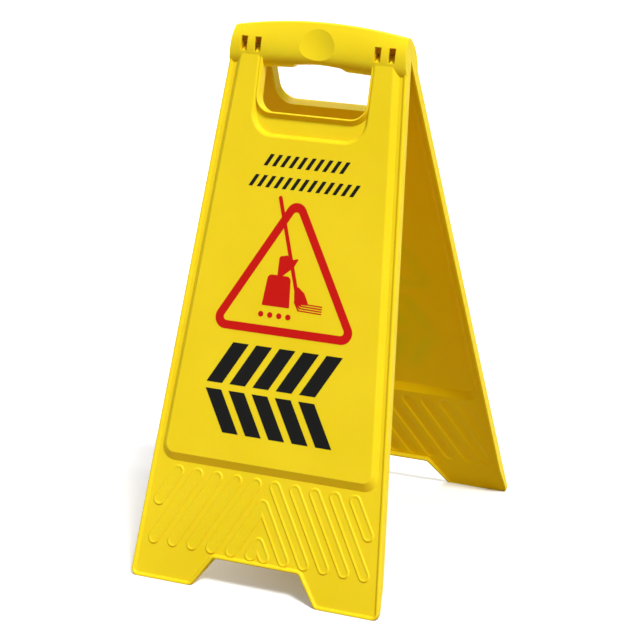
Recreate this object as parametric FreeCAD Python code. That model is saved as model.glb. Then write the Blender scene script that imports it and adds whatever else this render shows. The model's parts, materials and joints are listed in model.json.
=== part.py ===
import FreeCAD, Part
import math
import os

# Folding floor sign: two ribbed tray panels hinged at the top, standing open as an A-frame.
#
# Each panel is drawn flat in its own coordinates before it is leaned into place:
#   u  across the panel, zero on its centre line
#   s  down the panel, zero on the hinge axis
#   t  outwards from the parting plane, where the two folded panels meet
# The finished part stands on z = 0 with the hinge axis along X above the origin.

# --- driving dimensions: millimetres and degrees -------------------------------------------

# Panel outline
PANEL_LENGTH = 594.0
HALF_WIDTH_AT_HINGE = 104.0
HALF_WIDTH_AT_FEET = 150.0
HALF_OPENING = 18.25
FOOT_WIDTH = 75.0
NOTCH_SLOPE_RUN = 23.3
NOTCH_HEIGHT = 34.5
FOOT_CORNER_RADIUS = 8.0
NOTCH_CORNER_RADIUS = 5.0
SMALLEST_CORNER = 1.0

# Levels above the parting plane, and the moulded wall
WALL = 2.5
FLOOR_LEVEL = 9.0
RIM_HEIGHT = 2.3
FACE_HEIGHT = 5.2
MATING_GAP = 0.3

# Rim bead round the edge
RIM_CREST_WIDTH = 2.4
RIM_SLOPE_RUN = 2.4
RIM_OUTER_FILLET = 1.4
RIM_FLOOR_FILLET = 1.0

# Raised message face and the two arms that carry it up to the handle
FACE_MARGIN = 14.7
FACE_SIDE_RUN = 6.0
FACE_BOTTOM_RUN = 9.3
FACE_CORNER_RADIUS = 10.0
FACE_EDGE_FILLET = 2.0
ARM_TOP = -3.0

# Hand opening, its rolled lip and the recess round it
ARM_REACH = 39.4
OPENING_BOTTOM = 68.2
OPENING_CORNER_RADIUS = 18.0
LIP_DROP = 0.5
LIP_WIDTH = 1.8
LIP_SIDE_RUN = 1.7
LIP_BOTTOM_RUN = 5.0
LIP_FILLET = 1.6
RECESS_SIDE_BORDER = 3.6
RECESS_SIDE_RUN = 3.0
RECESS_BOTTOM_BORDER = 27.0
RECESS_BOTTOM_RUN = 3.8
RECESS_CORNER_RADIUS = 26.0
RECESS_EDGE_FILLET = 2.5

# Handle: each panel carries one half of an arched hollow grip
HANDLE_TOP_AT_CENTRE = 33.5
HANDLE_ARCH_RADIUS = 537.0
HANDLE_BOTTOM = 17.3
HANDLE_UNDERSIDE_RADIUS = 1150.0
HANDLE_BELLY_LEVEL = 2.0
HANDLE_CREST_HEIGHT = 1.8
HANDLE_CREST_RISE = 0.8
HANDLE_CREST_DROP = 4.5
HANDLE_LIP_THICKNESS = 2.6
HANDLE_TOP_RADIUS = 2.0
SCOOP_HALF_WIDTH = 31.5
SCOOP_STEP_RUN = 3.8
SCOOP_STEP_HEIGHT = 2.2
SCOOP_RISE = 2.2

# Blank round dimple in the middle of the handle
DIMPLE_DROP = -2.7
DIMPLE_DEPTH = 3.8
DIMPLE_CROSS_RADIUS = 59.0
DIMPLE_LONG_RADIUS = 140.0

# Hinge: hooks on the front panel, each under a window, and knuckles on the rear panel
HOOK_EDGE_DISTANCE = 16.5
HOOK_PITCH = 16.6
WINDOW_WIDTH = 7.8
WINDOW_TOP = -11.0
WINDOW_BOTTOM = 5.0
WINDOW_INNER_LEVEL = 5.0
HOOK_SIDE_CLEARANCE = 0.5
HOOK_WALL = 2.6
PIN_RADIUS = 3.0
PIN_RUNNING_CLEARANCE = 0.05
PIN_OVERHANG = 0.8
PIN_CHAMFER = 0.6
PIN_END_CLEARANCE = 0.3
PIN_STOP_THICKNESS = 2.0
HOOK_MOUTH_SHARE = 0.82
KNUCKLE_SIDE_CLEARANCE = 0.6
GUSSET_TOP = -1.9
GUSSET_FOOT = 9.0

# Diagonal stiffening ribs below the message face, each with a raised border
RIB_WIDTH = 14.4
RIB_HEIGHT = 1.1
RIB_SIDE_RUN = 1.4
RIB_BORDER_WIDTH = 0.5
RIB_DISH_DEPTH = 0.7
RIB_DISH_RUN = 2.2
RIB_PITCH = 23.8
RIB_LEAN = 29.7
RIB_TOP_MARGIN = 13.2
RIB_NOTCH_MARGIN = 3.6
RIB_FIRST_FOOT = 8.0
RIB_COUNT = 7
RIB_EDGE_MARGIN = 17.0

# Feet
FOOT_RELIEF_LENGTH = 40.0
FOOT_RELIEF_DEPTH = 6.0
SOLE_TRIM = 0.4

# Printed films, stacked down the message face
PRINT_THICKNESS = 0.15
HEADING_CENTRE = 4.0
HEADING_GAP = 18.6
HEADING_HALF_LENGTHS = (54.0, 70.0)
HEADING_ROW_PITCH = 23.4
HEADING_HEIGHT = 13.0
HEADING_STRIPE = 4.5
HEADING_PITCH = 10.0
TRIANGLE_CENTRE = -0.5
TRIANGLE_GAP = 0.6
TRIANGLE_HEIGHT = 157.4
TRIANGLE_STROKE = 9.3
TRIANGLE_OUTER_RADIUS = 12.5
TRIANGLE_INNER_RADIUS = 4.0
BRISTLE_COUNT = 4
DOT_COUNT = 4
BAND_CENTRE = -4.8
BAND_GAP = 13.6
BAND_DIRECTIONS = (1, -1)
BAND_ROW_GAP = 7.2
BAND_HALF_WIDTH = 84.0
BAND_HEIGHT = 46.0
BAND_STRIPE = 19.0
BAND_PITCH = 28.0
STRIPE_LEAN = 30.0
FACE_FOOT_MARGIN = 29.8

# --- derived values ------------------------------------------------------------------------

LEAN = math.radians(HALF_OPENING)
SIDE_TAPER = (HALF_WIDTH_AT_FEET - HALF_WIDTH_AT_HINGE) / PANEL_LENGTH
RIM_LEVEL = FLOOR_LEVEL + RIM_HEIGHT
FACE_LEVEL = FLOOR_LEVEL + FACE_HEIGHT
LIP_LEVEL = FACE_LEVEL - LIP_DROP
HINGE_HEIGHT = PANEL_LENGTH * math.cos(LEAN) - RIM_LEVEL * math.sin(LEAN) - SOLE_TRIM
FOOT_INNER_HALF_WIDTH = HALF_WIDTH_AT_FEET - FOOT_WIDTH
NOTCH_HALF_WIDTH = FOOT_INNER_HALF_WIDTH - NOTCH_SLOPE_RUN
NOTCH_TOP = PANEL_LENGTH - NOTCH_HEIGHT

OPENING_HALF_WIDTH = HALF_WIDTH_AT_HINGE - ARM_REACH
RECESS_HALF_WIDTH = OPENING_HALF_WIDTH + RECESS_SIDE_BORDER
RECESS_BOTTOM = OPENING_BOTTOM + RECESS_BOTTOM_BORDER
HANDLE_CREST_LEVEL = FACE_LEVEL + HANDLE_CREST_HEIGHT

OUTER_HOOK_CENTRE = HALF_WIDTH_AT_HINGE - HOOK_EDGE_DISTANCE
INNER_HOOK_CENTRE = OUTER_HOOK_CENTRE - HOOK_PITCH
HOOK_WIDTH = WINDOW_WIDTH - 2 * HOOK_SIDE_CLEARANCE
BORE_RADIUS = PIN_RADIUS + PIN_RUNNING_CLEARANCE
HOOK_RADIUS = PIN_RADIUS + HOOK_WALL

HEADING_TOP = RECESS_BOTTOM + HEADING_GAP
TRIANGLE_APEX = HEADING_TOP + HEADING_ROW_PITCH + HEADING_HEIGHT + TRIANGLE_GAP
SYMBOL_UNIT = TRIANGLE_HEIGHT / 100
BAND_TOP = TRIANGLE_APEX + TRIANGLE_HEIGHT + BAND_GAP
BAND_ROW_PITCH = BAND_HEIGHT + BAND_ROW_GAP
FACE_BOTTOM = BAND_TOP + BAND_ROW_PITCH + BAND_HEIGHT + FACE_FOOT_MARGIN
RIB_ROW_TOP = FACE_BOTTOM + RIB_TOP_MARGIN
RIB_ROW_BOTTOM = NOTCH_TOP - RIB_NOTCH_MARGIN

# Drawing aids: reaches for cutters, how far a cutter runs past its work, and tolerances
FAR = 1000.0
NEAR = 100.0
OVERRUN = 1.0
SAME_LEVEL = 1e-4
SAME_PLACE = 1e-3


# --- drawing helpers -----------------------------------------------------------------------

def place(u, s, t):
    """Point in space for panel coordinates, with the panel upright and facing -Y."""
    return FreeCAD.Vector(u, -t, -s)


def half_width(s):
    """Half width of the panel at the distance s below the hinge axis."""
    return HALF_WIDTH_AT_HINGE + SIDE_TAPER * s


def inset_polygon(corners, insets):
    """Corners of the polygon after edge i, from corner i to the next, moves in by insets[i]."""
    following = corners[1:] + corners[:1]
    area = sum(a[0] * b[1] - b[0] * a[1] for a, b in zip(corners, following))
    turn = math.copysign(1.0, area)
    lines = []
    for (u0, s0), (u1, s1), inset in zip(corners, following, insets):
        length = math.hypot(u1 - u0, s1 - s0)
        du, ds = (u1 - u0) / length, (s1 - s0) / length
        lines.append((u0 - turn * ds * inset, s0 + turn * du * inset, du, ds))
    moved = []
    for (u0, s0, du0, ds0), (u1, s1, du1, ds1) in zip(lines[-1:] + lines[:-1], lines):
        cross = du0 * ds1 - ds0 * du1
        along = ((u1 - u0) * ds1 - (s1 - s0) * du1) / cross
        moved.append((u0 + along * du0, s0 + along * ds0))
    return moved


def rounded_wire(corners, radii, t):
    """Closed wire at level t through the corners, each rounded to its radius."""
    count = len(corners)
    arcs = []
    for index, radius in enumerate(radii):
        corner = place(*corners[index], t)
        back = (place(*corners[index - 1], t) - corner).normalize()
        ahead = (place(*corners[(index + 1) % count], t) - corner).normalize()
        half_angle = back.getAngle(ahead) / 2
        reach = radius / math.tan(half_angle)
        depth = radius / math.sin(half_angle) - radius
        middle = corner + (back + ahead).normalize() * depth
        arcs.append((corner + back * reach, middle, corner + ahead * reach, radius))
    edges = []
    for index, (start, middle, end, radius) in enumerate(arcs):
        if radius > 0:
            edges.append(Part.Arc(start, middle, end).toShape())
        edges.append(Part.LineSegment(end, arcs[(index + 1) % count][0]).toShape())
    return Part.Wire(edges)


def slab(corners, radii, low, high):
    """Straight-sided block on a rounded outline, between two levels."""
    face = Part.Face(rounded_wire(corners, radii, low))
    return face.extrude(place(0, 0, high) - place(0, 0, low))


def tapered_slab(outline, low, high):
    """Block between two levels whose outline(t) gives the corners and radii at level t."""
    wires = [rounded_wire(*outline(t), t) for t in (low, high)]
    return Part.makeLoft(wires, True, True)


def block(u0, u1, s0, s1, t0, t1):
    """Box between limits in panel coordinates."""
    corner = place(u0, s1, t1)
    return Part.makeBox(u1 - u0, t1 - t0, s1 - s0, corner)


def bar(profile, u0, u1):
    """Prism along u from u0 to u1 on a closed outline of (s, t) points."""
    points = [place(u0, s, t) for s, t in profile]
    face = Part.Face(Part.makePolygon(points + points[:1]))
    return face.extrude(FreeCAD.Vector(u1 - u0, 0, 0))


def cylinder_across(radius, u0, u1):
    """Cylinder on the hinge axis between two places across the panel."""
    return Part.makeCylinder(radius, u1 - u0, place(u0, 0, 0), FreeCAD.Vector(1, 0, 0))


def mirrored(shape):
    """The same shape on the other side of the centre line."""
    return shape.mirror(FreeCAD.Vector(0, 0, 0), FreeCAD.Vector(1, 0, 0))


def level_edges(shape, t):
    """Edges that lie wholly at level t."""
    found = []
    for edge in shape.Edges:
        box = edge.BoundBox
        if abs(box.YMin + t) < SAME_LEVEL and abs(box.YMax + t) < SAME_LEVEL:
            found.append(edge)
    return found


def wall_shift(inset, run, rise):
    """How far a sloping wall's inner face moves sideways when its level drops by the inset."""
    return inset * (math.hypot(run, rise) - run) / rise


# --- panel skin: every function draws the outside, or with an inset the hollow behind it -----

def band(top, bottom):
    """The strip of panel between two heights, from side edge to side edge."""
    return [
        (half_width(top), top),
        (half_width(bottom), bottom),
        (-half_width(bottom), bottom),
        (-half_width(top), top),
    ]


def side_insets(side):
    """Insets for a band: none at its top and bottom, the same on both sides."""
    return [side, 0.0, side, 0.0]


def panel_outline(inset):
    """Whole outline below the handle, with its two feet and the notch between them."""
    right = [
        (half_width(0.0), 0.0),
        (HALF_WIDTH_AT_FEET, PANEL_LENGTH),
        (FOOT_INNER_HALF_WIDTH, PANEL_LENGTH),
        (NOTCH_HALF_WIDTH, NOTCH_TOP),
    ]
    left = [(-u, s) for u, s in reversed(right)]
    edges_below_handle = len(right + left) - 1
    corners = inset_polygon(right + left, [inset] * edges_below_handle + [0.0])
    foot = max(FOOT_CORNER_RADIUS - inset, SMALLEST_CORNER)
    outer = [0.0, foot, foot, NOTCH_CORNER_RADIUS + inset]
    return corners, outer + outer[::-1]


def tray(inset):
    """Flat tray of the panel up to its rim, or its hollow up to the floor sheet."""
    corners, radii = panel_outline(inset)
    if inset:
        return slab(corners, radii, -NEAR, FLOOR_LEVEL - inset)
    body = slab(corners, radii, 0.0, RIM_LEVEL)
    sides = [e for e in level_edges(body, RIM_LEVEL) if e.BoundBox.ZMin < -SAME_PLACE]
    body = body.makeFillet(RIM_OUTER_FILLET, sides)
    return body.cut(rim_pocket())


def rim_pocket():
    """What is taken out inside the rim bead, down to the floor sheet."""
    def outline(t):
        run = RIM_SLOPE_RUN * (RIM_LEVEL - t) / (RIM_LEVEL - FLOOR_LEVEL)
        return panel_outline(RIM_CREST_WIDTH + run)
    pocket = tapered_slab(outline, FLOOR_LEVEL, RIM_LEVEL + OVERRUN)
    return pocket.makeFillet(RIM_FLOOR_FILLET, level_edges(pocket, FLOOR_LEVEL))


def raised_face(inset):
    """Message face with sloping sides, reaching up behind the handle as the two arms."""
    rise = FACE_LEVEL - FLOOR_LEVEL
    top_level = FACE_LEVEL - inset
    side_shift = wall_shift(inset, FACE_SIDE_RUN, rise)
    bottom_shift = wall_shift(inset, FACE_BOTTOM_RUN, rise)

    def outline(t):
        drop = (top_level - t) / rise
        side = FACE_MARGIN - FACE_SIDE_RUN * drop + side_shift
        bottom = FACE_BOTTOM + FACE_BOTTOM_RUN * drop - bottom_shift
        corners = inset_polygon(band(ARM_TOP + inset, bottom), side_insets(side))
        radius = FACE_CORNER_RADIUS + FACE_SIDE_RUN * drop
        return corners, [0.0, radius, radius, 0.0]

    body = tapered_slab(outline, FLOOR_LEVEL - inset - WALL / 2, top_level)
    if inset:
        return body
    rounded = [e for e in level_edges(body, top_level) if e.BoundBox.ZMin < -ARM_TOP - SAME_PLACE]
    return body.makeFillet(FACE_EDGE_FILLET, rounded)


def recess(inset):
    """Pocket between the arms, with sloping walls up to the message face."""
    rise = FACE_LEVEL - FLOOR_LEVEL
    side_shift = wall_shift(inset, RECESS_SIDE_RUN, rise)
    bottom_shift = wall_shift(inset, RECESS_BOTTOM_RUN, rise)

    def outline(t):
        drop = (FACE_LEVEL - inset - t) / rise
        side = RECESS_HALF_WIDTH - RECESS_SIDE_RUN * drop + side_shift
        bottom = RECESS_BOTTOM - RECESS_BOTTOM_RUN * drop + bottom_shift
        corners = [(side, ARM_TOP - WALL), (side, bottom), (-side, bottom), (-side, ARM_TOP - WALL)]
        radius = RECESS_CORNER_RADIUS - RECESS_SIDE_RUN * drop
        return corners, [0.0, radius, radius, 0.0]

    return tapered_slab(outline, FLOOR_LEVEL - inset, FACE_LEVEL + FACE_HEIGHT)


def recessed_face():
    """Message face with the recess cut into it and its edge rounded over."""
    face = raised_face(0.0).cut(recess(0.0))
    inner = []
    for edge in level_edges(face, FACE_LEVEL):
        box = edge.BoundBox
        within = max(abs(box.XMin), abs(box.XMax)) < RECESS_HALF_WIDTH + SAME_PLACE
        if within and ARM_TOP + SAME_PLACE < -box.ZMin < RECESS_BOTTOM + SAME_PLACE:
            inner.append(edge)
    return face.makeFillet(RECESS_EDGE_FILLET, inner)


def opening_corners(margin, bottom_margin, top):
    """Hand opening outline, moved out by a margin at the sides and another at the bottom."""
    side = OPENING_HALF_WIDTH + margin
    bottom = OPENING_BOTTOM + bottom_margin
    radius = OPENING_CORNER_RADIUS + margin
    return [(side, top), (side, bottom), (-side, bottom), (-side, top)], [0.0, radius, radius, 0.0]


def hand_opening(inset, top):
    """The hole behind the handle; with an inset, its own wall stays standing round it."""
    corners, radii = opening_corners(inset, inset, top)
    return slab(corners, radii, -NEAR, NEAR)


def opening_lip():
    """Raised lip round the sides and bottom of the hand opening, rolled at its front edge."""
    def outline(t):
        drop = (LIP_LEVEL - t) / (LIP_LEVEL - FLOOR_LEVEL)
        return opening_corners(LIP_WIDTH + LIP_SIDE_RUN * drop, LIP_WIDTH + LIP_BOTTOM_RUN * drop, 0.0)
    block_with_lip = tapered_slab(outline, FLOOR_LEVEL - WALL / 2, LIP_LEVEL)
    ring = block_with_lip.cut(hand_opening(0.0, -WALL))
    inner = []
    for edge in level_edges(ring, LIP_LEVEL):
        box = edge.BoundBox
        at_side = abs(max(abs(box.XMin), abs(box.XMax)) - OPENING_HALF_WIDTH) < SAME_PLACE
        at_bottom = abs(-box.ZMin - OPENING_BOTTOM) < SAME_PLACE
        if at_side or at_bottom:
            inner.append(edge)
    return ring.makeFillet(LIP_FILLET, inner)


def handle_section(u, inset):
    """Closed cross-section of the handle half at the place u across the panel."""
    arch = HANDLE_TOP_AT_CENTRE - u * u / (2 * HANDLE_ARCH_RADIUS)
    rise = HANDLE_CREST_RISE * (1 - (u / HALF_WIDTH_AT_HINGE) ** 2)
    top = -arch * math.cos(LEAN) - math.sin(LEAN) * HANDLE_LIP_THICKNESS / 2 + inset
    top_level = arch * math.sin(LEAN) + HANDLE_LIP_THICKNESS - inset
    crest = -HANDLE_CREST_DROP
    crest_level = HANDLE_CREST_LEVEL + rise - inset
    bottom = HANDLE_BOTTOM + u * u / (2 * HANDLE_UNDERSIDE_RADIUS) - inset
    belly = HANDLE_BELLY_LEVEL
    corner = max(HANDLE_TOP_RADIUS - inset, SMALLEST_CORNER / 2)

    def front(s):
        if s < crest:
            return crest_level - (crest_level - top_level) * ((crest - s) / (crest - top)) ** 2
        share = min(1.0, (s - crest) / (bottom - crest))
        return belly + (crest_level - belly) * math.sqrt(1 - share ** 2)

    upper_steps, lower_steps = 3, 5
    upper = [top + corner + (crest - top - corner) * step / upper_steps for step in range(upper_steps + 1)]
    quarter_turns = [math.pi / 2 * step / lower_steps for step in range(1, lower_steps + 1)]
    lower = [crest + (bottom - crest) * math.sin(angle) for angle in quarter_turns]
    points = [place(u, s, front(s)) for s in upper + lower]
    first, last = points[0], points[-1]
    shoulder = place(u, top, front(top + corner) - corner)
    turn = corner * (1 - math.sqrt(0.5))
    bend = place(u, top + turn, front(top + corner) - turn)
    back = -WALL * 2
    curve = Part.BSplineCurve()
    curve.interpolate(points)
    edges = [
        Part.Arc(shoulder, bend, first).toShape(),
        curve.toShape(),
        Part.LineSegment(last, place(u, bottom, back)).toShape(),
        Part.LineSegment(place(u, bottom, back), place(u, top, back)).toShape(),
        Part.LineSegment(place(u, top, back), shoulder).toShape(),
    ]
    return Part.Wire(edges)


def handle(inset):
    """Arched half grip from side edge to side edge, with the finger scoop and the dimple."""
    reach = HALF_WIDTH_AT_HINGE + WALL * 2
    steps = 3
    stations = [reach * step / steps for step in range(-steps, steps + 1)]
    grip = Part.makeLoft([handle_section(u, inset) for u in stations], True, False)
    sides = inset_polygon(band(-NEAR, NEAR), side_insets(inset))
    grip = grip.common(slab(sides, [0.0] * 4, -NEAR, NEAR))
    return grip.cut(finger_scoop(inset)).cut(dimple(inset))


def finger_scoop(inset):
    """Shallow arc with a short sloping step at each end, taken out of the underside of the handle."""
    shoulder = SCOOP_HALF_WIDTH - SCOOP_STEP_RUN + inset
    step_top = HANDLE_BOTTOM - SCOOP_STEP_HEIGHT - inset
    low = HANDLE_BOTTOM * 2
    foot = shoulder + (low - step_top) * SCOOP_STEP_RUN / SCOOP_STEP_HEIGHT
    left, right = place(-shoulder, step_top, -NEAR), place(shoulder, step_top, -NEAR)
    left_foot, right_foot = place(-foot, low, -NEAR), place(foot, low, -NEAR)
    outline = Part.Wire([
        Part.Arc(left, place(0, step_top - SCOOP_RISE, -NEAR), right).toShape(),
        Part.LineSegment(right, right_foot).toShape(),
        Part.LineSegment(right_foot, left_foot).toShape(),
        Part.LineSegment(left_foot, left).toShape(),
    ])
    return Part.Face(outline).extrude(place(0, 0, NEAR) - place(0, 0, -NEAR))


def dimple(inset):
    """Barrel-shaped cutter for the round dimple in the front of the handle."""
    bottom_level = HANDLE_CREST_LEVEL + HANDLE_CREST_RISE - DIMPLE_DEPTH
    centre = place(0, DIMPLE_DROP, bottom_level + DIMPLE_LONG_RADIUS)
    ring_radius = DIMPLE_LONG_RADIUS - DIMPLE_CROSS_RADIUS
    return Part.makeTorus(ring_radius, DIMPLE_CROSS_RADIUS + inset, centre, FreeCAD.Vector(1, 0, 0))


def skin(inset):
    """Outside of the panel, or with an inset the hollow behind its wall."""
    face = raised_face(inset).cut(recess(inset)) if inset else recessed_face()
    body = tray(inset).fuse(face).cut(hand_opening(inset, HANDLE_BOTTOM / 2 - inset))
    if not inset:
        body = body.fuse(opening_lip())
    return body.fuse(handle(inset))


# --- ribs ----------------------------------------------------------------------------------

def rib_runs():
    """End centres of each rib on the right half; ribs that reach the middle meet there."""
    slope = math.tan(math.radians(RIB_LEAN))
    top = RIB_ROW_TOP + RIB_WIDTH / 2
    bottom = RIB_ROW_BOTTOM - RIB_WIDTH / 2
    for index in range(RIB_COUNT):
        foot = RIB_FIRST_FOOT + RIB_PITCH * index
        upper = max(top, bottom - foot / slope)
        edge = HALF_WIDTH_AT_HINGE - RIB_EDGE_MARGIN
        lower = min(bottom, (edge - foot + slope * bottom) / (slope - SIDE_TAPER))
        if lower > upper:
            yield (foot - slope * (bottom - upper), upper), (foot - slope * (bottom - lower), lower)


def obround_wire(start, end, radius, t):
    """Outline at level t of a round-ended bar between two centres."""
    length = math.hypot(end[0] - start[0], end[1] - start[1])
    du, ds = (end[0] - start[0]) / length, (end[1] - start[1]) / length

    def point(centre, ahead, aside):
        u = centre[0] + radius * (du * ahead - ds * aside)
        s = centre[1] + radius * (ds * ahead + du * aside)
        return place(u, s, t)

    return Part.Wire([
        Part.LineSegment(point(start, 0, 1), point(end, 0, 1)).toShape(),
        Part.Arc(point(end, 0, 1), point(end, 1, 0), point(end, 0, -1)).toShape(),
        Part.LineSegment(point(end, 0, -1), point(start, 0, -1)).toShape(),
        Part.Arc(point(start, 0, -1), point(start, -1, 0), point(start, 0, 1)).toShape(),
    ])


def tapered_bar(start, end, low_radius, high_radius, low, high):
    """Round-ended bar between two levels that narrows or widens on the way up."""
    wires = [obround_wire(start, end, low_radius, low), obround_wire(start, end, high_radius, high)]
    return Part.makeLoft(wires, True, True)


def rib_pieces(low_radius, high_radius, low, high):
    """The same tapered bar along every rib on both halves."""
    pieces = []
    for start, end in rib_runs():
        piece = tapered_bar(start, end, low_radius, high_radius, low, high)
        pieces += [piece, mirrored(piece)]
    return pieces


def ribs():
    """Raised ribs on the outside of the floor sheet."""
    foot, top = RIB_WIDTH / 2, RIB_WIDTH / 2 - RIB_SIDE_RUN
    return rib_pieces(foot, top, FLOOR_LEVEL, FLOOR_LEVEL + RIB_HEIGHT)


def rib_dishes():
    """Shallow dish in the top of each rib, which leaves its border standing."""
    top = RIB_WIDTH / 2 - RIB_SIDE_RUN - RIB_BORDER_WIDTH
    bottom = top - RIB_DISH_RUN
    dish_level = FLOOR_LEVEL + RIB_HEIGHT - RIB_DISH_DEPTH
    return rib_pieces(bottom, top, dish_level, FLOOR_LEVEL + RIB_HEIGHT)


def rib_grooves():
    """Matching grooves behind the ribs, so that the sheet keeps its wall."""
    foot = RIB_WIDTH / 2
    top = foot - RIB_SIDE_RUN - RIB_HEIGHT
    base = FLOOR_LEVEL - WALL
    return rib_pieces(foot, top, base, base + RIB_HEIGHT)


# --- hinge ---------------------------------------------------------------------------------

def gusset(u0, u1, outside):
    """Web that ties a hook or knuckle to the wall below the window."""
    profile = [
        (GUSSET_TOP, WINDOW_INNER_LEVEL),
        (WINDOW_BOTTOM, FACE_LEVEL - WALL / 2),
        (GUSSET_FOOT, FACE_LEVEL),
        (GUSSET_FOOT, MATING_GAP),
        (0.0, MATING_GAP),
    ]
    return bar(profile, u0, u1).common(outside)


def hinge_ring(u0, u1, outside):
    """Bored ring round the hinge axis with its gusset."""
    ring = cylinder_across(HOOK_RADIUS, u0, u1).fuse(gusset(u0, u1, outside))
    return ring.cut(cylinder_across(BORE_RADIUS, u0 - OVERRUN, u1 + OVERRUN))


def snap_hook(centre, outside):
    """Ring on the front panel, open at the back so that the pin snaps in."""
    u0, u1 = centre - HOOK_WIDTH / 2, centre + HOOK_WIDTH / 2
    mouth = PIN_RADIUS * HOOK_MOUTH_SHARE
    slot = block(u0 - OVERRUN, u1 + OVERRUN, -mouth, mouth, -HOOK_RADIUS - OVERRUN, 0.0)
    return hinge_ring(u0, u1, outside).cut(slot)


def knuckle_span():
    """Where the rear knuckle starts and stops, between the two hooks."""
    inner = INNER_HOOK_CENTRE + HOOK_WIDTH / 2 + KNUCKLE_SIDE_CLEARANCE
    outer = OUTER_HOOK_CENTRE - HOOK_WIDTH / 2 - KNUCKLE_SIDE_CLEARANCE
    return inner, outer


def knuckle(outside):
    """Ring on the rear panel that turns on the pin between the two hooks."""
    return hinge_ring(*knuckle_span(), outside)


def pin_ends():
    """Where the pin starts and stops across the panel."""
    inner = INNER_HOOK_CENTRE - HOOK_WIDTH / 2 - PIN_OVERHANG
    outer = OUTER_HOOK_CENTRE + HOOK_WIDTH / 2 + PIN_OVERHANG
    return inner, outer


def pin_stops(outside):
    """Two webs on the front panel that keep the pin from sliding out of its hooks."""
    inner, outer = pin_ends()
    webs = []
    for u0 in (inner - PIN_END_CLEARANCE - PIN_STOP_THICKNESS, outer + PIN_END_CLEARANCE):
        web = block(u0, u0 + PIN_STOP_THICKNESS, -HOOK_RADIUS, GUSSET_FOOT, MATING_GAP, NEAR)
        webs.append(web.common(outside))
    return webs


def hinge_pin():
    """Short round pin on the right-hand side, chamfered at both ends."""
    inner, outer = pin_ends()
    pin = cylinder_across(PIN_RADIUS, inner, outer)
    rims = [e for e in pin.Edges if len(e.Vertexes) == 1]
    return pin.makeChamfer(PIN_CHAMFER, rims)


# --- panels --------------------------------------------------------------------------------

def mating_clearance():
    """Space kept free for the other panel, folded below the hinge and open above it."""
    half_gap = MATING_GAP / 2
    profile = [
        (0.0, half_gap),
        (-FAR, half_gap + FAR * math.tan(LEAN)),
        (-FAR, -FAR),
        (FAR, -FAR),
        (FAR, half_gap),
    ]
    return bar(profile, -FAR, FAR)


def foot_relief():
    """Wedge off the back edge of the flanges, so that the feet stand on their front edge."""
    start = PANEL_LENGTH - FOOT_RELIEF_LENGTH
    profile = [
        (start, 0.0),
        (start + 2 * FOOT_RELIEF_LENGTH, 2 * FOOT_RELIEF_DEPTH),
        (start + 2 * FOOT_RELIEF_LENGTH, -FOOT_RELIEF_DEPTH),
        (start, -FOOT_RELIEF_DEPTH),
    ]
    return bar(profile, -FAR, FAR)


def hook_windows():
    """Windows through the front of the handle, one over each hook."""
    cuts = []
    for centre in (INNER_HOOK_CENTRE, OUTER_HOOK_CENTRE):
        u0, u1 = centre - WINDOW_WIDTH / 2, centre + WINDOW_WIDTH / 2
        window = block(u0, u1, WINDOW_TOP, WINDOW_BOTTOM, WINDOW_INNER_LEVEL, NEAR)
        cuts += [window, mirrored(window)]
    return cuts


def panel_shell(outside):
    """One moulded panel before its hinge parts are added."""
    hollow = skin(WALL).fuse(rib_grooves())
    shell = outside.fuse(ribs()).cut(rib_dishes()).cut(hollow)
    return shell.cut([mating_clearance(), foot_relief()])


def stand(shape, rear):
    """Lean a panel-frame shape into the open A-frame, on the front or the rear side."""
    placed = shape.copy()
    origin = FreeCAD.Vector(0, 0, 0)
    if rear:
        placed.rotate(origin, FreeCAD.Vector(0, 0, 1), 180)
    placed.rotate(origin, FreeCAD.Vector(1, 0, 0), HALF_OPENING if rear else -HALF_OPENING)
    placed.translate(FreeCAD.Vector(0, 0, HINGE_HEIGHT))
    return placed


def trim_sole(panel):
    """Cut the feet flat on the ground."""
    ground = Part.makeBox(FAR, FAR, FAR, FreeCAD.Vector(-FAR / 2, -FAR / 2, -FAR))
    return panel.cut(ground)


# --- printed films -------------------------------------------------------------------------

def film(wire):
    """Thin printed film on the message face, filling a wire drawn on it."""
    return Part.Face(wire).extrude(place(0, 0, PRINT_THICKNESS) - place(0, 0, 0))


def face_wire(corners, radii=None):
    """Wire on the message face."""
    return rounded_wire(corners, radii or [0.0] * len(corners), FACE_LEVEL)


def warning_triangle():
    """Rounded equilateral triangle frame."""
    half_base = TRIANGLE_HEIGHT / math.sqrt(3)
    base = TRIANGLE_APEX + TRIANGLE_HEIGHT
    outer = [
        (TRIANGLE_CENTRE, TRIANGLE_APEX),
        (TRIANGLE_CENTRE + half_base, base),
        (TRIANGLE_CENTRE - half_base, base),
    ]
    inner = inset_polygon(outer, [TRIANGLE_STROKE] * 3)
    frame = film(face_wire(outer, [TRIANGLE_OUTER_RADIUS] * 3))
    return frame.cut(film(face_wire(inner, [TRIANGLE_INNER_RADIUS] * 3)))


def in_triangle(across, down):
    """Point given in SYMBOL_UNITs across and down from the triangle's apex."""
    return TRIANGLE_CENTRE + across * SYMBOL_UNIT, TRIANGLE_APEX + down * SYMBOL_UNIT


def symbol_shape(points, radii):
    """Film on an outline of in_triangle points and corner radii."""
    corners = [in_triangle(*point) for point in points]
    return film(face_wire(corners, [radius * SYMBOL_UNIT for radius in radii]))


def symbol_stroke(start, end, width):
    """Straight round-ended line of film between two in_triangle points."""
    return film(obround_wire(in_triangle(*start), in_triangle(*end), width * SYMBOL_UNIT / 2, FACE_LEVEL))


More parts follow.
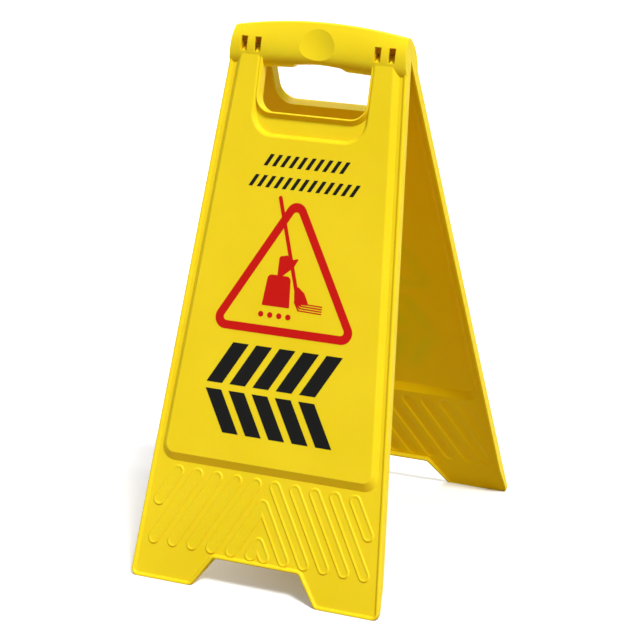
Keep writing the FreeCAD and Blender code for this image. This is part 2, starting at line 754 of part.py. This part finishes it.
def broom_symbol():
    """Hand sweeping with a broom, over a row of dots, drawn in SYMBOL_UNITs."""
    shapes = [symbol_stroke((-13.5, 5.8), (6.5, 67.1), 2.8)]
    head = [(5.1, 66.5), (7.9, 64.9), (13.0, 68.7), (16.5, 75.1), (16.5, 76.7), (6.3, 76.7)]
    shapes.append(symbol_shape(head, [0.3, 0.3, 1.9, 1.3, 0.3, 1.9]))
    for index in range(BRISTLE_COUNT):
        bend = (9.9 + 0.9 * index, 81.0 - 1.66 * index)
        shapes.append(symbol_stroke(bend, (27.1, bend[1] + 0.4), 0.83))
        shapes.append(symbol_stroke((6.5 + 0.5 * index, 75.4), bend, 1.15))
    hand = [(-8.8, 60.1), (-8.8, 45.7), (-2.9, 44.4), (1.5, 47.0), (6.0, 45.7), (2.8, 52.1), (-4.9, 58.8)]
    shapes.append(symbol_shape(hand, [0.0, 1.9, 0.6, 0.6, 0.6, 1.3, 0.6]))
    cuff = [(-15.7, 58.7), (1.4, 58.7), (2.9, 80.3), (-18.0, 80.3)]
    shapes.append(symbol_shape(cuff, [3.2, 3.2, 0.6, 0.6]))
    symbol = shapes[0].multiFuse(shapes[1:]).removeSplitter()
    dots = [dot(in_triangle(-17.8 + 6.9 * index, 86.5), 2.0 * SYMBOL_UNIT) for index in range(DOT_COUNT)]
    return [symbol.cut(warning_triangle())] + dots


def dot(centre, radius):
    """Round spot of film."""
    axis = place(0, 0, 1) - place(0, 0, 0)
    return Part.makeCylinder(radius, PRINT_THICKNESS, place(*centre, FACE_LEVEL), axis)


def stripes(centre, half_length, top, height, stripe, pitch, direction):
    """Row of leaning parallelograms, the plain hazard stripe."""
    lean = height * math.tan(math.radians(STRIPE_LEAN))
    count = int((2 * half_length - lean - stripe) / pitch) + 1
    used = (count - 1) * pitch + stripe + lean
    pieces = []
    for index in range(count):
        left = centre - used / 2 + index * pitch
        upper, lower = (lean, 0.0) if direction > 0 else (0.0, lean)
        corners = [
            (left + upper, top),
            (left + upper + stripe, top),
            (left + lower + stripe, top + height),
            (left + lower, top + height),
        ]
        pieces.append(film(face_wire(corners)))
    return pieces


def heading_stripes():
    """Two slim rows of stripes at the head of the face."""
    rows = []
    for index, half_length in enumerate(HEADING_HALF_LENGTHS):
        top = HEADING_TOP + HEADING_ROW_PITCH * index
        rows += stripes(HEADING_CENTRE, half_length, top, HEADING_HEIGHT, HEADING_STRIPE, HEADING_PITCH, 1)
    return rows


def hazard_band():
    """Two tall rows of stripes below the triangle, leaning opposite ways."""
    rows = []
    for index, direction in enumerate(BAND_DIRECTIONS):
        top = BAND_TOP + BAND_ROW_PITCH * index
        rows += stripes(BAND_CENTRE, BAND_HALF_WIDTH, top, BAND_HEIGHT, BAND_STRIPE, BAND_PITCH, direction)
    return rows


# --- assembly ------------------------------------------------------------------------------

def only_solid(shape):
    """The single solid in a shape, with its split faces joined."""
    clean = shape.removeSplitter()
    if len(clean.Solids) != 1:
        raise ValueError("expected one solid, found %d" % len(clean.Solids))
    return clean.Solids[0]


def build():
    """All nodes by name."""
    outside = skin(0.0)
    shell = panel_shell(outside)

    front_parts = []
    for centre in (INNER_HOOK_CENTRE, OUTER_HOOK_CENTRE):
        front_parts.append(snap_hook(centre, outside))
    front_parts += pin_stops(outside)
    front = shell.cut(hook_windows()).fuse(front_parts + [mirrored(piece) for piece in front_parts])

    bearing = knuckle(outside)
    rear = shell.fuse([bearing, mirrored(bearing)])

    pin = hinge_pin()
    nodes = {
        "front_panel": trim_sole(stand(only_solid(front), False)),
        "rear_panel": trim_sole(stand(only_solid(rear), True)),
        "hinge_pin_right": stand(pin, False),
        "hinge_pin_left": stand(mirrored(pin), False),
    }
    prints = {
        "warning_triangle": [warning_triangle()],
        "broom_symbol": broom_symbol(),
        "heading_stripes": heading_stripes(),
        "hazard_stripes": hazard_band(),
    }
    for side, rear_side in (("front", False), ("rear", True)):
        for name, pieces in prints.items():
            nodes[side + "_" + name] = Part.Compound([stand(piece, rear_side) for piece in pieces])
    return nodes


def main():
    os.makedirs("parts", exist_ok=True)
    for name, shape in build().items():
        shape.exportStep("parts/" + name + ".step")
        print(name, shape.isValid(), len(shape.Solids), round(shape.Volume, 1))


main()
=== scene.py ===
import json
import math

import bpy
from mathutils import Matrix, Vector


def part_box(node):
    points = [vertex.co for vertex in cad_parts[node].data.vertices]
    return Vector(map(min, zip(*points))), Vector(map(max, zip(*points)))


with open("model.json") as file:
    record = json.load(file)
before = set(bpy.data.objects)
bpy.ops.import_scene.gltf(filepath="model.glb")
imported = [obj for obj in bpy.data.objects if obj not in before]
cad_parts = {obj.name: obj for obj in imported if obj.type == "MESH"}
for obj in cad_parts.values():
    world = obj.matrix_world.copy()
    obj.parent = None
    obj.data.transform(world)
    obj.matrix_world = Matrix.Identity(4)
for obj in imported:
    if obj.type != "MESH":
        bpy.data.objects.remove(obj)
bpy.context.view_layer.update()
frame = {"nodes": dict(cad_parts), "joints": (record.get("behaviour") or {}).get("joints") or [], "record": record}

# The open sign, worked out from the frame: its hinge, the lean of each panel and one hinge pin
FOLD = frame["joints"][0]
HINGE = Vector(FOLD["pos_m"])
LEAN = math.radians(FOLD["range_deg"][1] / 2)
PIN_LOW, PIN_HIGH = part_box("hinge_pin_right")

# Camera: where it looks from, and the lens that frames the sign
CAMERA_AZIMUTH = math.radians(25.115)
CAMERA_ELEVATION = math.radians(18.707)
CAMERA_ROLL = math.radians(-0.55)
CAMERA_DISTANCE = 2.6825
CAMERA_LENS = 134.506
CAMERA_TARGET = Vector((-0.0061, 0.0, HINGE.z - 0.3044))

# Light: the key's direction is across, up and out of the front panel
KEY_STRENGTH = 3.6
KEY_SIZE = math.radians(16)
KEY_PANEL_DIRECTION = (0.62, 0.95, 0.72)
BACK_STRENGTH = 2.0
BACK_SIZE = math.radians(40)
BACK_DIRECTION = Vector((-0.15, 0.6, 0.8))
WORLD_STRENGTH = 0.36
SEEN_STRENGTH = 1.0
FLOOR_HALF_SIZE = 30.0
FLOOR_TINT = 0.90
BOUNCE_TINT = 0.28

# Colours of the yellow plastic: two close ones outside, then a painted amber shade on its inner side,
# a deeper painted shade on its undersides and a painted orange glow in the hollow handle
YELLOWS = ("ebd01e", "f0d524")
PAINTED_SHADE_AMBER = "f9d400"
PAINTED_UNDERSIDE_SHADE = "e0b000"
PAINTED_HOLLOW_GLOW = "ffb414"

# Small parts and inks: two close colours, roughness and gloss
PIN_FINISH = (("e8a60c", "f0b010"), 0.30, 0.40)
RED_FINISH = (("c2100a", "c9140c"), 0.45, 0.12)
BLACK_FINISH = (("050505", "0b0a09"), 0.50, 0.12)

# Surface detail: textures in features per metre, depths in metres, and the levels of a noise
# between which its marks run from one look to the other
FLOW_MARKS_PER_METRE = 9.0
FLOW_DETAIL = 4.0
SHEEN_MARKS_PER_METRE = 60.0
SHEEN_DETAIL = 3.0
SPARKS_PER_METRE = 1400.0
SPARK_DETAIL = 2.0
SPARK_STRENGTH = 0.12
SPARK_DEPTH = 0.0002
MARKS_FROM = 0.35
MARKS_TO = 0.65
ROUGHNESS_SPREAD = 0.05
PLASTIC_IOR = 1.49

# Yellow plastic: its gloss, and how far light travels in it
PANEL_ROUGHNESS = 0.40
PANEL_GLOSS = 0.06
GLOW_SHARE = 0.6
GLOW_DEPTH = 0.003
GLOW_REACH = (1.0, 0.5, 0.05)

# Which way its inner side and its undersides look, as shares of the surface's normal, where the painted shade goes
AWAY_DIP = math.radians(53)
AWAY_FROM = -0.20
AWAY_TO = 0.50
DOWN_FULL = 0.35

# The hollow handle round each hinge pin, seen through the hook windows: it is painted with an orange glow, and
# light travels deeper into the plastic there
HOLLOW_MARGIN = Vector((0.005, 0.006, 0.009))
HOLLOW_MIDDLE = (PIN_LOW + PIN_HIGH) / 2
HOLLOW_REACH = (PIN_HIGH - PIN_LOW) / 2 + HOLLOW_MARGIN
HOLLOW_FADE = 0.002
HOLLOW_GLOW_DEPTH = 0.025


# --- shader nodes -----------------------------------------------------------------------------

def linear(hex_colour):
    """Linear RGBA of an sRGB hex colour."""
    channels = []
    for start in (0, 2, 4):
        value = int(hex_colour[start:start + 2], 16) / 255
        channels.append(value / 12.92 if value <= 0.04045 else ((value + 0.055) / 1.055) ** 2.4)
    return (*channels, 1.0)


def grey(level):
    """Linear RGBA of a neutral grey."""
    return (level, level, level, 1.0)


def add(tree, kind):
    """New shader node of the given kind."""
    return tree.nodes.new("ShaderNode" + kind)


def put(tree, value, socket):
    """Link what another node gives to the socket, or set a plain value on it."""
    if isinstance(value, bpy.types.NodeSocket):
        tree.links.new(value, socket)
    else:
        socket.default_value = value


def calculate(tree, operation, *values):
    """Result of a math node."""
    node = add(tree, "Math")
    node.operation = operation
    for value, socket in zip(values, node.inputs):
        put(tree, value, socket)
    return node.outputs[0]


def rescale(tree, value, start, end, low=0.0, high=1.0):
    """Number that runs from low to high as the value runs from start to end, and stays there."""
    node = add(tree, "MapRange")
    put(tree, value, node.inputs["Value"])
    put(tree, start, node.inputs["From Min"])
    put(tree, end, node.inputs["From Max"])
    put(tree, low, node.inputs["To Min"])
    put(tree, high, node.inputs["To Max"])
    return node.outputs["Result"]


def place(tree):
    """Position on the model at rest, which stays with a body when the sign folds."""
    return add(tree, "TexCoord").outputs["Object"]


def outward(tree):
    """Direction that the surface looks in at rest."""
    return add(tree, "TexCoord").outputs["Normal"]


def split(tree, vector):
    """X, Y and Z of a vector."""
    node = add(tree, "SeparateXYZ")
    put(tree, vector, node.inputs[0])
    return node.outputs


def noise(tree, scale, detail):
    """Noise texture in the model's own coordinates, scale in features per metre."""
    texture = add(tree, "TexNoise")
    put(tree, place(tree), texture.inputs["Vector"])
    put(tree, scale, texture.inputs["Scale"])
    put(tree, detail, texture.inputs["Detail"])
    return texture.outputs["Fac"]


def ramp(tree, source, low, high):
    """Colour that runs from low to high as the noise rises."""
    node = add(tree, "ValToRGB")
    start, end = node.color_ramp.elements
    start.position = MARKS_FROM
    end.position = MARKS_TO
    start.color = low
    end.color = high
    put(tree, source, node.inputs["Fac"])
    return node.outputs["Color"]


def mix_colour(tree, share, low, high):
    """Colour that runs from low to high as the share goes from 0 to 1."""
    node = add(tree, "Mix")
    node.data_type = "RGBA"
    first, second = [socket for socket in node.inputs if socket.type == "RGBA"]
    put(tree, share, node.inputs["Factor"])
    put(tree, low, first)
    put(tree, high, second)
    return [socket for socket in node.outputs if socket.type == "RGBA"][0]


def light_or_seen(tree, light, seen):
    """The shader for rays that light things, or the other where a camera or a reflection looks."""
    path = add(tree, "LightPath")
    looked_at = path.outputs["Is Camera Ray"]
    for ray in ("Is Glossy Ray", "Is Transmission Ray"):
        looked_at = calculate(tree, "MAXIMUM", looked_at, path.outputs[ray])
    mix = add(tree, "MixShader")
    put(tree, looked_at, mix.inputs["Fac"])
    put(tree, light, mix.inputs[1])
    put(tree, seen, mix.inputs[2])
    return mix.outputs[0]


# --- camera and light -------------------------------------------------------------------------

def make_camera():
    """Camera at the viewing angle of the sign, high on its right-hand side."""
    azimuth, elevation, roll = CAMERA_AZIMUTH, CAMERA_ELEVATION, CAMERA_ROLL
    back = Vector((
        math.sin(azimuth) * math.cos(elevation),
        -math.cos(azimuth) * math.cos(elevation),
        math.sin(elevation),
    ))
    level_right = Vector((math.cos(azimuth), math.sin(azimuth), 0.0))
    level_up = back.cross(level_right)
    right = level_right * math.cos(roll) + level_up * math.sin(roll)
    up = level_up * math.cos(roll) - level_right * math.sin(roll)
    data = bpy.data.cameras.new("camera")
    data.lens = CAMERA_LENS
    camera = bpy.data.objects.new("camera", data)
    bpy.context.scene.collection.objects.link(camera)
    turn = Matrix((right, up, back)).transposed().to_4x4()
    camera.matrix_world = Matrix.Translation(CAMERA_TARGET + back * CAMERA_DISTANCE) @ turn
    bpy.context.scene.camera = camera


def make_sun(name, towards, strength, size):
    """Soft sun that shines from the given direction."""
    data = bpy.data.lights.new(name, "SUN")
    data.energy = strength
    data.angle = size
    light = bpy.data.objects.new(name, data)
    light.rotation_mode = "QUATERNION"
    light.rotation_quaternion = towards.to_track_quat("Z", "Y")
    bpy.context.scene.collection.objects.link(light)


def make_lights():
    """Key light from above right, and a softer one from behind that reaches into the hand opening."""
    across, up, out = KEY_PANEL_DIRECTION
    up_panel = Vector((0.0, math.sin(LEAN), math.cos(LEAN)))
    out_of_panel = Vector((0.0, -math.cos(LEAN), math.sin(LEAN)))
    towards = Vector((across, 0.0, 0.0)) + up_panel * up + out_of_panel * out
    make_sun("key", towards, KEY_STRENGTH, KEY_SIZE)
    make_sun("back", BACK_DIRECTION, BACK_STRENGTH, BACK_SIZE)


def make_world():
    """White as seen, and a plain soft level as light."""
    world = bpy.data.worlds.new("studio")
    world.use_nodes = True
    bpy.context.scene.world = world
    tree = world.node_tree
    tree.nodes.clear()
    levels = []
    for strength in (WORLD_STRENGTH, SEEN_STRENGTH):
        background = add(tree, "Background")
        put(tree, grey(1.0), background.inputs["Color"])
        put(tree, strength, background.inputs["Strength"])
        levels.append(background.outputs[0])
    out = add(tree, "OutputWorld")
    put(tree, light_or_seen(tree, *levels), out.inputs["Surface"])


def make_floor():
    """Plain pale floor that shows the sign's shadow."""
    half = FLOOR_HALF_SIZE
    corners = [(-half, -half, 0), (half, -half, 0), (half, half, 0), (-half, half, 0)]
    mesh = bpy.data.meshes.new("floor")
    mesh.from_pydata(corners, [], [(0, 1, 2, 3)])
    floor = bpy.data.objects.new("floor", mesh)
    bpy.context.scene.collection.objects.link(floor)
    material = bpy.data.materials.new("floor_white")
    material.use_nodes = True
    tree = material.node_tree
    tree.nodes.clear()
    tints = []
    for tint in (BOUNCE_TINT, FLOOR_TINT):
        matt = add(tree, "BsdfDiffuse")
        put(tree, grey(tint), matt.inputs["Color"])
        tints.append(matt.outputs[0])
    out = add(tree, "OutputMaterial")
    put(tree, light_or_seen(tree, *tints), out.inputs["Surface"])
    mesh.materials.append(material)


# --- materials --------------------------------------------------------------------------------

def principled_plastic(name, roughness, gloss):
    """Moulded plastic with sheen marks and a fine spark texture; its colour is put in afterwards."""
    material = bpy.data.materials.new(name)
    material.use_nodes = True
    tree = material.node_tree
    tree.nodes.clear()
    shader = add(tree, "BsdfPrincipled")
    out = add(tree, "OutputMaterial")
    put(tree, shader.outputs[0], out.inputs["Surface"])
    marks = noise(tree, SHEEN_MARKS_PER_METRE, SHEEN_DETAIL)
    bright, dull = grey(roughness - ROUGHNESS_SPREAD), grey(roughness + ROUGHNESS_SPREAD)
    put(tree, ramp(tree, marks, bright, dull), shader.inputs["Roughness"])
    bump = add(tree, "Bump")
    put(tree, SPARK_STRENGTH, bump.inputs["Strength"])
    put(tree, SPARK_DEPTH, bump.inputs["Distance"])
    put(tree, noise(tree, SPARKS_PER_METRE, SPARK_DETAIL), bump.inputs["Height"])
    put(tree, bump.outputs["Normal"], shader.inputs["Normal"])
    put(tree, PLASTIC_IOR, shader.inputs["IOR"])
    put(tree, gloss, shader.inputs["Specular IOR Level"])
    return material, tree, shader


def painted_shade_inside(tree, body):
    """Share of painted shade, from 0 on the outer face of a panel to 1 on surfaces that look into the sign, away
    from the light.
    """
    side = 1.0 if body == "front" else -1.0
    dot = add(tree, "VectorMath")
    dot.operation = "DOT_PRODUCT"
    put(tree, outward(tree), dot.inputs[0])
    put(tree, (0.0, side * math.cos(AWAY_DIP), -math.sin(AWAY_DIP)), dot.inputs[1])
    return rescale(tree, dot.outputs["Value"], AWAY_FROM, AWAY_TO)


def painted_shade_underside(tree):
    """Share of painted shade, from 0 on upright surfaces to 1 on those that look down at the floor."""
    return rescale(tree, split(tree, outward(tree))["Z"], 0.0, -DOWN_FULL)


def near(tree, value, middle, reach):
    """Share that is 1 within reach of the middle and fades to 0 just beyond."""
    distance = calculate(tree, "ABSOLUTE", calculate(tree, "SUBTRACT", value, middle))
    return rescale(tree, distance, reach + HOLLOW_FADE, reach)


def in_hollow(tree):
    """Share that is 1 inside the hollow handle, round the hinge pin at each end, where the glow is painted and
    light travels deeper.
    """
    across, out, up = split(tree, place(tree))
    either_end = calculate(tree, "ABSOLUTE", across)
    share = 1.0
    for value, middle, reach in zip((either_end, out, up), HOLLOW_MIDDLE, HOLLOW_REACH):
        share = calculate(tree, "MULTIPLY", share, near(tree, value, middle, reach))
    return share


def flow_marks(tree, colours):
    """Colour that drifts slowly between two close ones, as the melt flowed in the mould."""
    deep, clear = colours
    return ramp(tree, noise(tree, FLOW_MARKS_PER_METRE, FLOW_DETAIL), linear(deep), linear(clear))


def panel_plastic(body):
    """Sign-yellow polypropylene: clear yellow outside, painted amber shade on its inner side and undersides, a
    painted orange glow in the hollow handle, and light that travels a little way into it.
    """
    material, tree, shader = principled_plastic("yellow_plastic_" + body, PANEL_ROUGHNESS, PANEL_GLOSS)
    hollow = in_hollow(tree)
    # painted shade: surfaces that look down turn a deeper amber
    colour = mix_colour(tree, painted_shade_underside(tree), flow_marks(tree, YELLOWS), linear(PAINTED_UNDERSIDE_SHADE))
    # painted shade: surfaces that look into the sign, away from the light, turn amber
    colour = mix_colour(tree, painted_shade_inside(tree, body), colour, linear(PAINTED_SHADE_AMBER))
    # painted glow: the inside of the hollow handle turns a bright orange
    colour = mix_colour(tree, hollow, colour, linear(PAINTED_HOLLOW_GLOW))
    depth = rescale(tree, hollow, 0.0, 1.0, GLOW_DEPTH, HOLLOW_GLOW_DEPTH)
    put(tree, colour, shader.inputs["Base Color"])
    put(tree, depth, shader.inputs["Subsurface Scale"])
    put(tree, GLOW_SHARE, shader.inputs["Subsurface Weight"])
    put(tree, GLOW_REACH, shader.inputs["Subsurface Radius"])
    return material


def plain_finish(name, colours, roughness, gloss):
    """Evenly coloured plastic or ink with faint flow marks."""
    material, tree, shader = principled_plastic(name, roughness, gloss)
    put(tree, flow_marks(tree, colours), shader.inputs["Base Color"])
    return material


def dress_frame():
    """Put a finished material on every CAD node."""
    panels = {body + "_panel": panel_plastic(body) for body in ("front", "rear")}
    finishes = {
        "pin_plastic": plain_finish("pin_plastic", *PIN_FINISH),
        "red_print": plain_finish("red_ink", *RED_FINISH),
        "black_print": plain_finish("black_ink", *BLACK_FINISH),
    }
    slots = {part["node"]: part["material_slot"] for part in frame["record"]["subparts"]}
    for name, node in frame["nodes"].items():
        node.data.materials.clear()
        node.data.materials.append(panels.get(name) or finishes[slots[name]])


make_camera()
make_lights()
make_world()
make_floor()
dress_frame()

bpy.context.scene.view_settings.view_transform = "Standard"
